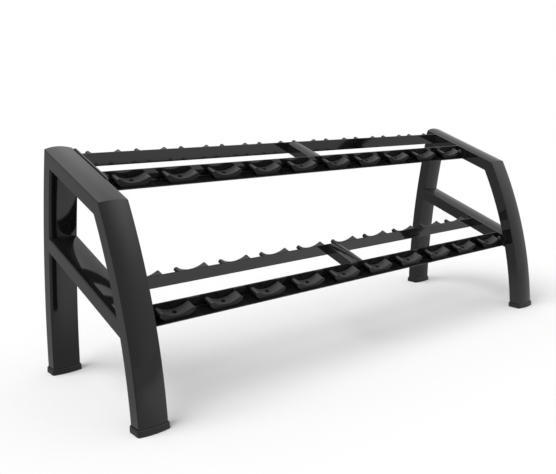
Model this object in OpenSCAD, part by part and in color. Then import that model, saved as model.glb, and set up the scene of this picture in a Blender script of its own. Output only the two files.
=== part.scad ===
// Two-tier dumbbell rack with moulded saddles.
// Each end frame is welded from four crowned tubes: an arched rear leg, an arched front leg,
// a sloping top tube mitred to both legs, and a mid tube let in between them.
// Each tray has two angle rails, standing back to back on either side of an open gap, a centre
// beam and two end plates. The end plates are bolted to the flat sides of the tubes, and the
// saddles are screwed to the flanges of the rails.
// X runs along the rack, +Y to its back, +Z up. The origin is on the floor, under the middle.

/* [Rack] */
// Length over both end frames
rack_length = 2400; // [2100:1:2700]
// Depth between the outer edges of the front and rear legs, at the floor
foot_depth = 757; // [720:1:820]
// Tilt of the trays, down towards the front, in degrees
tray_tilt = 19.5; // [17:0.1:22]
// Height of the top tube's upper edges, above the floor midway between the feet
top_tube_height = 822.3; // [790:1:860]
// Height of the mid tube's upper edges, above the floor midway between the feet
mid_tube_height = 473.1; // [440:1:500]

/* [Frame tube] */
// Width of the crowned faces, along the rack
tube_w = 115; // [100:1:130]
// Width of the flat sides
tube_t = 55; // [50:1:62]
// Rise of each crowned face
tube_crown = 7; // [4:0.5:9]
// Radius of the long edges
tube_edge_r = 4.5; // [2:0.5:6]
// Wall of the frame tube
tube_wall = 3; // [2:0.5:5]
// Gap between a leg and the coped ends of the mid tube, closed by the weld
weld_gap = 0.1; // [0.05:0.05:0.3]

/* [Legs] */
// Radius of the rear leg's rear edges
rear_leg_r = 4270; // [3800:10:5000]
// Radius of the front leg's front edges
front_leg_r = 1930; // [1850:10:2100]
// Lean of the front leg at the floor, in degrees
front_leg_lean = 4.25; // [3:0.25:5.5]

/* [Boots] */
// Height of a rubber boot
boot_h = 24; // [18:1:36]
// Thickness of the rubber under the leg
boot_floor = 6; // [4:0.5:10]
// Thickness of the rubber wall, at the floor
boot_wall = 6; // [4:0.5:9]
// Thickness of the rubber wall, at its rim
boot_rim = 2.5; // [1.5:0.5:3.5]
// Gap between a leg and its boot
boot_gap = 0.3; // [0.1:0.1:0.5]

/* [Trays] */
// Space between the upper tray's rear edge and the rear mitres of the top tubes
upper_tray_room = 5; // [2:0.5:20]
// Distance from the front legs' rear edges to the lower tray's front bolts
lower_bolt_room = 25.5; // [14:0.1:30]
// Height of the trays' top edges over the upper edges of the tubes
tray_proud = 3.5; // [0:0.5:6]
// Gap between the two rails of a tray
rail_gap = 165; // [140:1:180]
// Width of a rail's flange
rail_flange = 62; // [58:1:70]
// Height of a rail's wall, and of the end plates
rail_h = 53; // [50:1:60]
// Thickness of a rail
rail_t = 4; // [3:0.5:5]
// Inner radius of a rail's bend
rail_bend_r = 2.5; // [1:0.5:3]
// Thickness of an end plate
plate_t = 8; // [6:1:12]
// Radius of an end plate's corners
plate_corner_r = 10; // [4:1:16]
// Width of the centre beam
beam_w = 75; // [60:1:100]
// Rise of each crowned face of the centre beam
beam_crown = 5; // [3:0.5:7]
// Radius of the centre beam's long edges
beam_edge_r = 3; // [2:0.5:4]
// Wall of the centre beam
beam_wall = 2.5; // [2:0.5:4]

/* [Saddles] */
// Saddles on each rail
saddle_count = 10; // [2:1:10]
// Space between an end plate and the outermost saddle
saddle_end_gap = 36.75; // [10:0.25:80]
// Width of a saddle between the outermost points of its horns
saddle_w = 150; // [140:1:160]
// Width of a saddle where it stands on the rail
saddle_foot_w = 92; // [80:1:110]
// Depth of a saddle, across the rail
saddle_depth = 45; // [40:0.5:50]
// Height of the horns
saddle_h = 37; // [33:0.5:40]
// Thickness under the lowest point of the cradle
saddle_web = 17; // [15:0.5:19]
// Rounding of a horn's outer side
horn_r = 9; // [6:0.5:12]
// Width of the flat land along the top of a horn
horn_land = 4.5; // [2:0.5:8]
// Width of the bevel along the cradle's front and back edges
cradle_bevel = 1.5; // [0.5:0.5:2.5]
// Gap between a saddle and the rail's wall
saddle_gap = 2; // [1:0.5:3]

/* [Fasteners] */
// Diameter of the bolts that hold the trays to the end frames
bolt_d = 10; // [8:1:12]
// Distance of each tray bolt from the middle of its end plate
bolt_offset = 106.5; // [100:0.5:115]
// Diameter of the screws that hold the saddles
screw_d = 8; // [6:1:8]
// Depth at which a saddle screw's head is seated, below the cradle's lowest point
screw_recess = 9.5; // [8.5:0.5:10.5]
// Gap between a screw or bolt and its hole
hole_gap = 0.5; // [0.3:0.1:1]
// Gap between a thread and its nut
thread_gap = 0.1; // [0.05:0.05:0.2]

/* [Hidden] */
$fn = 96;
section_fn = $fn;                 // fragments of the tube's section where it is swept
arc_fn = 720;                     // fragments of the legs' long arcs
cut_size = 500;                   // size of the blocks that trim the tubes' ends
over = 1;                         // how far a cut runs past the face that it opens
frame_x = (rack_length - tube_w) / 2;
inner_x = rack_length / 2 - tube_w;
rail_x = inner_x - plate_t;
tray_depth = rail_gap + 2 * rail_flange;
beam_t = rail_h - 2 * beam_crown;
SIDES = ["left", "right"];
TIERS = ["upper", "lower"];
function side_sign(side) = side == "left" ? -1 : 1;

// The centres of the legs' arcs, as [y, z]
rear_centre = [foot_depth / 2 - rear_leg_r, 0];
front_centre = [-foot_depth / 2 + front_leg_r * cos(front_leg_lean), -front_leg_r * sin(front_leg_lean)];

// A tube's frame: its origin is on the upper edge line, midway between the feet, and Y runs up the slope.
function along(p, height) = p[0] * cos(tray_tilt) + (p[1] - height) * sin(tray_tilt);
function above(p, height) = -p[0] * sin(tray_tilt) + (p[1] - height) * cos(tray_tilt);
// Where an arc crosses the line at a level above a tube's upper edges: dir is 1 at its back, -1 at its front
function crossing(centre, r, height, level, dir) =
    along(centre, height) + dir * sqrt(r * r - pow(level - above(centre, height), 2));

// The two mitres of the top tube, in its own frame: where its upper edges end, and half the turn there
bend_at = crossing(front_centre, front_leg_r, top_tube_height, 0, -1);
crest_at = crossing(rear_centre, rear_leg_r, top_tube_height, 0, 1);
function half_turn(at, centre) =
    (atan2(-above(centre, top_tube_height), at - along(centre, top_tube_height)) - 90) / 2;
bend_turn = half_turn(bend_at, front_centre);
crest_turn = half_turn(crest_at, rear_centre);

// The sweep of each leg's arc, in degrees about its centre, from under the floor to past its mitre
floor_sweep = 1;
spare_sweep = 2.5;
front_low = 180 - front_leg_lean + floor_sweep;
front_high = atan2(-above(front_centre, top_tube_height), bend_at - along(front_centre, top_tube_height))
    + tray_tilt - spare_sweep;
rear_low = -floor_sweep;
rear_high = atan2(-above(rear_centre, top_tube_height), crest_at - along(rear_centre, top_tube_height))
    + tray_tilt + spare_sweep;

// The middles of the trays, along their tubes
upper_tray_at = crest_at - upper_tray_room - tray_depth / 2;
lower_tray_at = bolt_offset + lower_bolt_room
    + crossing(front_centre, front_leg_r - tube_t, mid_tube_height, tray_proud - rail_h / 2, -1);
saddle_from = rail_gap / 2 + rail_t + saddle_gap;
saddle_mid = saddle_from + saddle_depth / 2;
flange_top = -rail_h + rail_t;
saddle_pitch = 2 * (rail_x - saddle_end_gap - saddle_w / 2) / (saddle_count - 1);
function saddle_x(i) = (i - (saddle_count + 1) / 2) * saddle_pitch;

// Fastener sizes that follow from the diameters
bolt_head_h = 0.64 * bolt_d;
bolt_head_w = 1.7 * bolt_d;
nut_h = 0.8 * bolt_d;
washer_t = 2;
bolt_washer_d = 2 * bolt_d;
screw_head_d = 1.6 * screw_d;
screw_head_h = screw_d;
screw_socket_w = 0.75 * screw_d;
screw_nut_h = 0.8 * screw_d;
screw_nut_w = 1.6 * screw_d;
screw_washer_t = 1.6;
screw_washer_d = 2 * screw_d;
thread_proud = 3;
hex = 6;                          // sides of a bolt head or nut
function across_corners(w) = w / cos(30);

PAIRS = [for (tier = TIERS) for (i = [1:saddle_count]) [tier, i]];
function pair_name(p) = str(p[0], "_saddle_pair_", p[1] < 10 ? "0" : "", p[1]);
FRAME_PIECES = ["rear_leg", "top_tube", "front_leg", "mid_tube", "rear_boot", "front_boot"];
TRAY_PIECES = ["front_rail", "rear_rail", "centre_beam", "left_end_plate", "right_end_plate"];

// ---- Shared shapes ----

// A flat-sided section with two crowned faces: x is across the crowned faces, y along them.
// A positive inset shrinks it by that much all round, and a negative one grows it.
module crowned_section(w, t, crown, edge_r, inset = 0) {
    r = (w * w / 4 + crown * crown) / (2 * crown);
    cx = t / 2 + crown - r;
    half_w = w / 2 - inset;
    crown_r = r - inset;
    er = max(edge_r - inset, 0.5);
    edge_x = cx + sqrt(pow(crown_r - er, 2) - pow(half_w - er, 2));
    lean = asin((half_w - er) / (crown_r - er));
    difference() {
        intersection() {
            square([2 * (cx + crown_r) + over, 2 * half_w], center = true);
            translate([cx, 0]) circle(crown_r, $fn = 2 * $fn);
            translate([-cx, 0]) circle(crown_r, $fn = 2 * $fn);
        }
        for (mx = [0, 1], my = [0, 1]) mirror([mx, 0]) mirror([0, my]) difference() {
            polygon([[edge_x, half_w - er], [edge_x, half_w + er],
                     [edge_x + 2 * er, half_w + er],
                     [edge_x + 2 * er * cos(lean), half_w - er + 2 * er * sin(lean)]]);
            translate([edge_x, half_w - er]) circle(er);
        }
    }
}

module frame_section(inset = 0) { crowned_section(tube_w, tube_t, tube_crown, tube_edge_r, inset); }

// Turns an extrusion so that it runs along Y, with its section's x up and its section's y along X
module along_y() { rotate([-90, 0, 0]) rotate([0, 0, -90]) children(); }

// Turns a revolved shape so that its axis is along X, and angle 0 points to the back
module about_x(centre) { translate([0, centre[0], centre[1]]) rotate([90, 0, 90]) children(); }

module on_slope(height) { translate([0, 0, height]) rotate([tray_tilt, 0, 0]) children(); }

// Everything past a point on a tube's upper edges, in the direction of turn, in the tube's frame
module past(at, turn) {
    translate([0, at, 0]) rotate([turn, 0, 0])
        translate([-cut_size / 2, 0, -cut_size / 2]) cube(cut_size);
}

module at_side(side) { translate([side_sign(side) * frame_x, 0, 0]) children(); }

// A tray's frame: its origin is in the middle of the plane of its top edges, and Y runs up the slope.
module in_tray(tier) {
    height = tier == "upper" ? top_tube_height : mid_tube_height;
    at = tier == "upper" ? upper_tray_at : lower_tray_at;
    on_slope(height) translate([0, at, tray_proud]) children();
}

// Whatever a tray bolt carries, at the inner face of each tube, with Z pointing into the tube
module at_tray_bolts(sides = SIDES) {
    for (tier = TIERS) in_tray(tier)
        for (side = sides, end = [-1, 1])
            translate([side_sign(side) * inner_x, end * bolt_offset, -rail_h / 2])
                rotate([0, 90 * side_sign(side), 0]) children();
}

// ---- End frames ----

module leg_arc(centre, r, low, high, inset = 0) {
    about_x(centre) rotate([0, 0, min(low, high)])
        rotate_extrude(angle = abs(high - low), $fn = arc_fn)
            translate([r - tube_t / 2, 0]) frame_section(inset, $fn = section_fn);
}

module rear_arc(inset = 0) { leg_arc(rear_centre, rear_leg_r, rear_low, rear_high, inset); }
module front_arc(inset = 0) { leg_arc(front_centre, front_leg_r, front_low, front_high, inset); }

module under(z) {
    translate([-cut_size / 2, -cut_size, z - cut_size]) cube([cut_size, 2 * cut_size, cut_size]);
}

module rear_leg() {
    color("#232325") difference() {
        rear_arc();
        rear_arc(tube_wall);
        on_slope(top_tube_height) past(crest_at, crest_turn + 180);
        under(boot_floor);
    }
}

module front_leg() {
    color("#232325") difference() {
        front_arc();
        front_arc(tube_wall);
        on_slope(top_tube_height) past(bend_at, bend_turn);
        under(boot_floor);
    }
}

// The holes that the tray bolts pass through, in the inner side of a top or mid tube
module tray_bolt_bores(side) {
    at_tray_bolts([side]) translate([0, 0, -over])
        cylinder(d = bolt_d + 2 * hole_gap, h = tube_wall + 2 * over);
}

module top_tube(side) {
    from = bend_at - tube_t;
    to = crest_at + tube_t;
    color("#2a2a2c") difference() {
        at_side(side) on_slope(top_tube_height) difference() {
            translate([0, from, -tube_t / 2]) along_y() linear_extrude(to - from) difference() {
                frame_section();
                frame_section(tube_wall);
            }
            past(bend_at, bend_turn + 180);
            past(crest_at, crest_turn);
        }
        tray_bolt_bores(side);
    }
}

// The mid tube ends inside the legs' middles, and is then cut back to their crowned faces.
module mid_tube(side) {
    from = crossing(front_centre, front_leg_r - tube_t / 2, mid_tube_height, -tube_t / 2, -1);
    to = crossing(rear_centre, rear_leg_r - tube_t / 2, mid_tube_height, -tube_t / 2, 1);
    color("#2a2a2c") difference() {
        at_side(side) difference() {
            on_slope(mid_tube_height) translate([0, from, -tube_t / 2]) along_y()
                linear_extrude(to - from) difference() {
                    frame_section();
                    frame_section(tube_wall);
                }
            rear_arc(-weld_gap);
            front_arc(-weld_gap);
        }
        tray_bolt_bores(side);
    }
}

// ---- Rubber boots ----

// y is the middle of the leg's foot, and lean the leg's slope there. Each level is the share of the
// boot's height, and the thickness of its wall there.
module boot(y, lean) {
    slice = 0.2;
    shoulder = (boot_wall + boot_rim) / 2;
    levels = [[0, boot_wall], [0.55, boot_wall - 0.3], [0.85, shoulder], [1, boot_rim]];
    hull() for (level = levels) {
        z = level[0] * (boot_h - slice);
        translate([0, y + z * tan(lean), z]) rotate([0, 0, 90])
            linear_extrude(slice) frame_section(-level[1], $fn = 32);
    }
}

module rear_boot() {
    color("#17171a") difference() {
        boot((foot_depth - tube_t) / 2, 0);
        difference() {
            rear_arc(-boot_gap);
            under(boot_floor);
        }
    }
}

module front_boot() {
    color("#17171a") difference() {
        boot((tube_t - foot_depth) / 2, front_leg_lean);
        difference() {
            front_arc(-boot_gap);
            under(boot_floor);
        }
    }
}

// ---- Trays ----

// Points along an arc, from one angle to another
function arc(centre, r, from, to, steps = 6) =
    [for (k = [0:steps]) let (a = from + (to - from) * k / steps) centre + r * [cos(a), sin(a)]];

// The section of an angle rail, folded from plate: its wall stands at x = 0 and its flange points along x.
module rail_section() {
    outer_r = rail_bend_r + rail_t;
    bend = [outer_r, outer_r - rail_h];
    polygon(concat(
        [[0, 0]],
        arc(bend, outer_r, 180, 270),
        [[rail_flange, -rail_h], [rail_flange, flange_top]],
        arc(bend, rail_bend_r, 270, 180),
        [[rail_t, 0]]));
}

// end is -1 for the front rail of a tray and 1 for its rear rail
module rail(end) {
    color("#1d1d1f") difference() {
        translate([0, end * rail_gap / 2, 0]) rotate([0, 0, 90 * end]) rotate([90, 0, 0])
            linear_extrude(2 * rail_x, center = true) rail_section();
        for (i = [1:saddle_count]) translate([saddle_x(i), end * saddle_mid, -rail_h - over])
            cylinder(d = screw_d + 2 * hole_gap, h = rail_t + 2 * over);
    }
}

module centre_beam() {
    color("#1d1d1f") translate([0, -rail_gap / 2, -rail_h / 2]) along_y()
        linear_extrude(rail_gap) difference() {
            crowned_section(beam_w, beam_t, beam_crown, beam_edge_r);
            crowned_section(beam_w, beam_t, beam_crown, beam_edge_r, beam_wall);
        }
}

module end_plate(side) {
    half = [tray_depth / 2 - plate_corner_r, rail_h / 2 - plate_corner_r];
    color("#1d1d1f") translate([side_sign(side) * (rail_x + plate_t / 2), 0, -rail_h / 2])
        rotate([90, 0, 90]) difference() {
            linear_extrude(plate_t, center = true) polygon(concat(
                arc([half[0], half[1]], plate_corner_r, 0, 90),
                arc([-half[0], half[1]], plate_corner_r, 90, 180),
                arc([-half[0], -half[1]], plate_corner_r, 180, 270),
                arc([half[0], -half[1]], plate_corner_r, 270, 360)));
            for (end = [-1, 1]) translate([end * bolt_offset, 0, 0])
                cylinder(d = bolt_d + 2 * hole_gap, h = plate_t + 2 * over, center = true);
        }
}

// ---- Saddles ----

// The cradle is a round trough between the lands of the two horns.
cradle_half = saddle_w / 2 - horn_r - horn_land;
cradle_rise = saddle_h - saddle_web;
cradle_r = (cradle_half * cradle_half + cradle_rise * cradle_rise) / (2 * cradle_rise);

// Half of a saddle's outline, from the foot round the nose to the top of the horn
function saddle_side() =
    let (foot = [saddle_foot_w / 2, 0],
         horn = [saddle_w / 2 - horn_r, saddle_h - horn_r],
         reach = horn - foot,
         flank = atan2(reach[1], reach[0]) - asin(horn_r / norm(reach)))
    concat([foot], arc(horn, horn_r, flank - 90, 90, 8));

module cradle() {
    fine = 3 * $fn;
    half = saddle_depth / 2;
    translate([0, 0, saddle_web + cradle_r]) rotate([90, 0, 0]) {
        cylinder(r = cradle_r, h = saddle_depth + 2 * over, center = true, $fn = fine);
        for (face = [0, 1]) mirror([0, 0, face]) translate([0, 0, half - cradle_bevel])
            cylinder(r1 = cradle_r, r2 = cradle_r + cradle_bevel + over, h = cradle_bevel + over, $fn = fine);
    }
}

module saddle() {
    side = saddle_side();
    other_side = [for (k = [len(side) - 1:-1:0]) [-side[k][0], side[k][1]]];
    color("#38383b") difference() {
        rotate([90, 0, 0]) linear_extrude(saddle_depth, center = true) polygon(concat(side, other_side));
        cradle();
        translate([0, 0, -over]) cylinder(d = screw_d + 2 * hole_gap, h = saddle_web + 2 * over);
        translate([0, 0, saddle_web - screw_recess])
            cylinder(d = screw_head_d + 2 * hole_gap, h = saddle_web);
    }
}

// Whatever stands on the flange at one saddle's place, on the front rail and on the rear rail
module at_pair(i) {
    for (end = [-1, 1]) translate([saddle_x(i), end * saddle_mid, flange_top]) children();
}

module at_all_pairs() { for (tier = TIERS) in_tray(tier) for (i = [1:saddle_count]) at_pair(i) children(); }

// ---- Fasteners ----

module ring(d, bore, h) {
    difference() {
        cylinder(d = d, h = h);
        translate([0, 0, -over]) cylinder(d = bore, h = h + 2 * over);
    }
}

module hex_nut(w, bore, h) {
    difference() {
        cylinder(d = across_corners(w), h = h, $fn = hex);
        translate([0, 0, -over]) cylinder(d = bore, h = h + 2 * over);
    }
}

module tray_bolts() {
    top = plate_t + washer_t;
    color("#2e2e31") at_tray_bolts() {
        translate([0, 0, -top - bolt_head_h])
            cylinder(d = across_corners(bolt_head_w), h = bolt_head_h, $fn = hex);
        translate([0, 0, -top]) cylinder(d = bolt_d, h = top + tube_wall + nut_h + thread_proud);
    }
}

module tray_bolt_washers() {
    color("#3a3a3e") at_tray_bolts() translate([0, 0, -plate_t - washer_t])
        ring(bolt_washer_d, bolt_d + 2 * hole_gap, washer_t);
}

module tube_weld_nuts() {
    color("#3a3a3e") at_tray_bolts() translate([0, 0, tube_wall])
        hex_nut(bolt_head_w, bolt_d + 2 * thread_gap, nut_h);
}

module saddle_screws() {
    seat = saddle_web - screw_recess;
    tail = rail_t + screw_washer_t + screw_nut_h + thread_proud;
    color("#2e2e31") at_all_pairs() difference() {
        union() {
            translate([0, 0, -tail]) cylinder(d = screw_d, h = tail + seat + over);
            translate([0, 0, seat]) cylinder(d = screw_head_d, h = screw_head_h);
        }
        translate([0, 0, seat + screw_head_h / 2])
            cylinder(d = across_corners(screw_socket_w), h = screw_head_h, $fn = hex);
    }
}

module saddle_washers() {
    color("#3a3a3e") at_all_pairs() translate([0, 0, -rail_t - screw_washer_t])
        ring(screw_washer_d, screw_d + 2 * hole_gap, screw_washer_t);
}

module saddle_nuts() {
    color("#3a3a3e") at_all_pairs() translate([0, 0, -rail_t - screw_washer_t - screw_nut_h])
        hex_nut(screw_nut_w, screw_d + 2 * thread_gap, screw_nut_h);
}

// ---- Nodes ----

for (side = SIDES) {
    at_side(side) rear_leg();
    top_tube(side);
    at_side(side) front_leg();
    mid_tube(side);
    at_side(side) rear_boot();
    at_side(side) front_boot();
}
for (tier = TIERS) {
    in_tray(tier) rail(-1);
    in_tray(tier) rail(1);
    in_tray(tier) centre_beam();
    in_tray(tier) end_plate("left");
    in_tray(tier) end_plate("right");
}
for (p = PAIRS)
    in_tray(p[0]) at_pair(p[1]) saddle();
tray_bolts();
tray_bolt_washers();
tube_weld_nuts();
saddle_screws();
saddle_washers();
saddle_nuts();
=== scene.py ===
# %% [markdown]
# # A dumbbell rack with moulded saddles
#
# The rack is a set of steel tubes and folded angle rails under one semi-gloss black coat, with forty
# plastic saddles on the rails. The construction already exists as exact solids, so this lesson is about
# their looks. Each cell makes one kind of piece or one finish, and says what it made.
#
# The solids arrive as plain triangles. Semi-gloss black shows every facet of a curved face, so the pieces
# with curved faces are made again here from the same sizes, with smooth normals and softened edges, and
# each one stands in for its solid.

# %% Load the solids
import math

import bmesh
import bpy
from mathutils import Matrix, Vector


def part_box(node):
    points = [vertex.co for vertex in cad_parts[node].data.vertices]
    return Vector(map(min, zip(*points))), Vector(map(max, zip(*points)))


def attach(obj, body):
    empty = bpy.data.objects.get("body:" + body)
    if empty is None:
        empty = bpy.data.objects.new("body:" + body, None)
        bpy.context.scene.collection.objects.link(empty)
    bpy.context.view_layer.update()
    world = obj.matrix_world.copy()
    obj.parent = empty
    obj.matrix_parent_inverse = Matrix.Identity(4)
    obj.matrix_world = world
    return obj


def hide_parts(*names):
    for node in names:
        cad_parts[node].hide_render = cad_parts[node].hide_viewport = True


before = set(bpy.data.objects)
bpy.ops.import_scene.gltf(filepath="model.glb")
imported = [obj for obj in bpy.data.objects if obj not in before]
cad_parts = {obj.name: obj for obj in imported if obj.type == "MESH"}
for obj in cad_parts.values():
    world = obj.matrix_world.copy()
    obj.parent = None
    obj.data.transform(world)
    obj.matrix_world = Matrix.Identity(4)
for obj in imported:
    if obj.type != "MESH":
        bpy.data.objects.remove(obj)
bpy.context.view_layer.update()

# %% [markdown]
# ## Sizes
#
# Everything is in metres, in the solids' own frame: X along the rack, Y to its back, Z up from the floor.
# Places come from the solids where a box can give them. The rest are the sizes that a workshop drawing
# of the rack would carry.

# %% Sizes of the rack
MM = 0.001
# Frame tubes and centre beams: width, thickness at the long edges, rise of the crown, radius of the edges
TUBE_W, TUBE_T, TUBE_CROWN, TUBE_EDGE = 115 * MM, 55 * MM, 7 * MM, 4.5 * MM
BEAM_W, BEAM_T, BEAM_CROWN, BEAM_EDGE = 75 * MM, 43 * MM, 5 * MM, 3 * MM
# The slope of the top and mid tubes, and how high their upper edges are at the rack's middle
TILT = math.radians(19.5)
TUBE_HEIGHT = {"upper": 822.3 * MM, "lower": 473.1 * MM}
# The legs: depth over both feet, radius of each leg's outer edges, and the front leg's lean at the floor
FOOT_DEPTH = 757 * MM
REAR_R, FRONT_R, FRONT_LEAN = 4270 * MM, 1930 * MM, math.radians(4.25)
BOOT_FLOOR, WELD_GAP = 6 * MM, 0.1 * MM
# The trays: rails, end plates, how far they stand above the slope, and the room in front and behind
RAIL_GAP, RAIL_FLANGE, RAIL_H, RAIL_T, RAIL_BEND = 165 * MM, 62 * MM, 53 * MM, 4 * MM, 2.5 * MM
PLATE_T, PLATE_CORNER, TRAY_PROUD = 8 * MM, 10 * MM, 3.5 * MM
TRAY_HALF = RAIL_GAP / 2 + RAIL_FLANGE
BOLT_OFFSET, UPPER_TRAY_ROOM, LOWER_BOLT_ROOM = 106.5 * MM, 5 * MM, 25.5 * MM

RACK_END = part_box("right_top_tube")[1].x
INNER_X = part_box("right_top_tube")[0].x
RAIL_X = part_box("upper_front_rail")[1].x
FRAME_X = (RACK_END + INNER_X) / 2
SIDES = {"left": -1, "right": 1}
TIERS = ("upper", "lower")
print("rack length", round(2 * RACK_END, 3), "rails", round(2 * RAIL_X, 3))

# %% [markdown]
# ## Node trees as arithmetic
#
# A shader or a Geometry Nodes tree is a sum written as boxes and wires. Wired by hand in Python, even
# `1 - a * b` takes a dozen lines. A small class that holds one output socket and overloads `+`, `-`, `*`
# and `/` lets the formula be written as a formula, and one method adds every other kind of node.

# %% Wires and graphs
class Wire:
    """An output socket that arithmetic works on."""

    def __init__(self, graph, socket):
        self.graph = graph
        self.socket = socket

    def math(self, operation, other=None, swap=False):
        """A Math node on this value, and on another one where the operation takes two."""
        pair = [self] if other is None else [other, self] if swap else [self, other]
        return self.graph.add("ShaderNodeMath", {"operation": operation}, dict(enumerate(pair)))

    def __add__(self, other):
        return self.math("ADD", other)

    def __sub__(self, other):
        return self.math("SUBTRACT", other)

    def __rsub__(self, other):
        return self.math("SUBTRACT", other, swap=True)

    def __mul__(self, other):
        return self.math("MULTIPLY", other)

    def __truediv__(self, other):
        return self.math("DIVIDE", other)

    __radd__ = __add__
    __rmul__ = __mul__


class Graph:
    """A node tree that nodes are added to: first their settings, then their sockets' values or wires."""

    def __init__(self, tree):
        self.tree = tree

    def add(self, kind, settings=None, values=None, output=0):
        """Adds a node and gives one of its outputs back as a Wire."""
        node = self.tree.nodes.new(kind)
        for name, value in (settings or {}).items():
            setattr(node, name, value)
        for key, value in (values or {}).items():
            for part in value if isinstance(value, list) else [value]:
                if isinstance(part, Wire):
                    self.tree.links.new(part.socket, node.inputs[key])
                else:
                    node.inputs[key].default_value = part
        return Wire(self, node.outputs[output]) if len(node.outputs) else node


print("helpers ready: Wire, Graph")

# %% [markdown]
# ## Finishes
#
# Black paint is hardly black in a bright room. Its own colour reflects about one per cent of the light,
# and its gloss reflects four per cent or more of whatever stands opposite. So the greys on the rack are
# reflections, and what counts is a low roughness, a very dark colour, and a skin that isn't quite flat.
# Powder coat has a fine "orange peel": waves a few millimetres long and a few micrometres high.

# %% Start a finish
def start_finish(name):
    """An empty material and the graph to fill."""
    material = bpy.data.materials.new(name)
    material.use_nodes = True
    material.node_tree.nodes.clear()
    return material, Graph(material.node_tree)


def noise(graph, scale, detail):
    """Smooth random values between 0 and 1. The scale is about the number of waves in a metre."""
    place = graph.add("ShaderNodeTexCoord", output=3)
    return graph.add("ShaderNodeTexNoise", values={"Vector": place, "Scale": scale, "Detail": detail})


def end_finish(graph, colours, colour_mask, roughness, height, bump_depth, **fixed):
    """Mixes two colours by a mask, and lays a bump of a real depth in metres over the surface."""
    between = {0: colour_mask, 6: colours[0], 7: colours[1]}
    colour = graph.add("ShaderNodeMix", {"data_type": "RGBA"}, between, 2)
    bump = graph.add("ShaderNodeBump", values={"Strength": 1.0, "Distance": bump_depth, "Height": height})
    values = {"Base Color": colour, "Roughness": roughness, "Normal": bump}
    values.update({name.replace("_", " "): value for name, value in fixed.items()})
    surface = graph.add("ShaderNodeBsdfPrincipled", values=values)
    graph.add("ShaderNodeOutputMaterial", values={"Surface": surface})


print("finish helpers ready")

# %% Black powder coat
CLOUD_WAVES, PEEL_WAVES, SPECK_WAVES = 5.0, 260.0, 1500.0
PAINT_DEPTH, PAINT_ROUGHNESS = 0.004 * MM, 0.035


def powder_coat(name, dark, light):
    material, graph = start_finish(name)
    clouds = noise(graph, CLOUD_WAVES, 3.0)
    peel = noise(graph, PEEL_WAVES, 1.0)
    speck = noise(graph, SPECK_WAVES, 1.0)
    height = peel * 0.75 + speck * 0.25
    rough = clouds * 0.04 + speck * 0.02 + PAINT_ROUGHNESS
    end_finish(graph, (dark, light), clouds, rough, height, PAINT_DEPTH, IOR=1.5)
    return material


FRAME_PAINT = powder_coat("frame_paint", (0.0070, 0.0070, 0.0075, 1), (0.0095, 0.0095, 0.0100, 1))
TRAY_PAINT = powder_coat("tray_paint", (0.0090, 0.0090, 0.0094, 1), (0.0120, 0.0120, 0.0124, 1))
print("made", FRAME_PAINT.name, TRAY_PAINT.name)

# %% [markdown]
# The saddles are moulded in black plastic with a spark-eroded grain: small pits close together, which
# break the gloss up. Noise alone looks like leather, so a Voronoi pattern gives the pits. Every face that
# looks up is painted a lighter dark grey: partly the scuffs that the dumbbells leave, and partly painted
# top light, which makes the cradles and lands lighter than the flanks. The Z of the surface's own normal
# finds those faces, and a slow noise makes the lighter grey uneven.

# %% Moulded saddle plastic
# Where the lighter grey of up-facing faces starts and where it is full: painted top light, and scuffs
TOP_LIT_WEAR_STARTS, TOP_LIT_WEAR_FULL = 0.35, 0.9
PIT_WAVES, GRAIN_WAVES, SCUFF_WAVES = 1100.0, 900.0, 30.0
GRAIN_DEPTH, GRAIN_ROUGHNESS = 0.03 * MM, 0.32


def saddle_plastic():
    material, graph = start_finish("saddle_plastic")
    place = graph.add("ShaderNodeTexCoord", output=3)
    facing = graph.add("ShaderNodeTexCoord", output="Normal")
    facing_up = graph.add("ShaderNodeSeparateXYZ", values={"Vector": facing}, output=2)
    lit_wear_range = {"Value": facing_up, "From Min": TOP_LIT_WEAR_STARTS, "From Max": TOP_LIT_WEAR_FULL}
    lit_and_worn = graph.add("ShaderNodeMapRange", {"interpolation_type": "SMOOTHSTEP"}, lit_wear_range)
    pits = graph.add("ShaderNodeTexVoronoi", values={"Vector": place, "Scale": PIT_WAVES})
    clouds = noise(graph, SCUFF_WAVES, 4.0)
    grain = noise(graph, GRAIN_WAVES, 2.0)
    height = pits * 0.6 + grain * 0.4
    rough = clouds * 0.08 + grain * 0.05 + GRAIN_ROUGHNESS
    # Lighter grey on faces that look up: painted top light, and partly the dumbbells' scuffs
    scuffs_and_top_light = lit_and_worn * (clouds * 0.5 + 0.75)
    colours = ((0.012, 0.012, 0.0125, 1), (0.060, 0.060, 0.061, 1))
    end_finish(graph, colours, scuffs_and_top_light, rough, height, GRAIN_DEPTH, IOR=1.49, Specular_IOR_Level=0.2)
    return material


SADDLE_PLASTIC = saddle_plastic()
print("made", SADDLE_PLASTIC.name)

# %% [markdown]
# Rubber is matt and picks dust up where it meets the floor. The dust is a mask on height: object
# coordinates are metres above the floor, so the first few millimetres turn a little paler and rougher.

# %% Boot rubber
DUST_HEIGHT, RUBBER_DEPTH, RUBBER_ROUGHNESS = 7 * MM, 0.02 * MM, 0.42


def boot_rubber():
    material, graph = start_finish("boot_rubber")
    place = graph.add("ShaderNodeTexCoord", output=3)
    height_up = graph.add("ShaderNodeSeparateXYZ", values={"Vector": place}, output=2)
    grain = noise(graph, 700.0, 3.0)
    clouds = noise(graph, 60.0, 3.0)
    ends = {"Value": height_up, "From Min": DUST_HEIGHT, "From Max": 0.0, "To Min": 0.0, "To Max": 1.0}
    low = graph.add("ShaderNodeMapRange", values=ends)
    dust = low * clouds
    rough = grain * 0.10 + dust * 0.2 + RUBBER_ROUGHNESS
    colours = ((0.0095, 0.0095, 0.0095, 1), (0.040, 0.038, 0.036, 1))
    end_finish(graph, colours, dust, rough, grain, RUBBER_DEPTH, IOR=1.5)
    return material


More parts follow.
